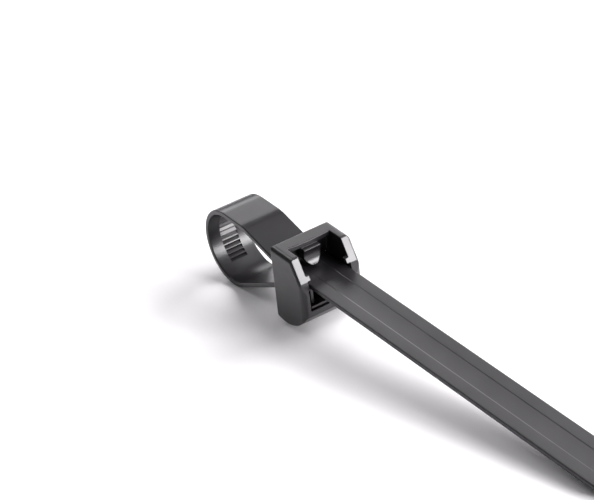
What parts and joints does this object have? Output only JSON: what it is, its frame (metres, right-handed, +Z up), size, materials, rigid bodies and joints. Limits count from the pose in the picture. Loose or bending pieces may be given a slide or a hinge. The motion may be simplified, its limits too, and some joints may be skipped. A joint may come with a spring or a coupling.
{
  "type": "cable tie",
  "caption": "One-piece moulded nylon tie pulled shut into a small loop, its broad head gripping the strap and the long straight tail standing out of the head's front.",
  "frame": {"origin": "the middle of the closed loop, on its axis, half way across the strap's width", "axes": "+X along the tail from the loop towards the tip, +Y across the strap along the loop's axis, +Z up, away from the surface that the tie rests on"},
  "size_m": [0.1771, 0.019, 0.0232],
  "materials": {
    "nylon": "black moulded nylon with a satin mould texture"
  },
  "bodies": {
    "root": {"cable_tie": "nylon"}
  },
  "joints": []
}
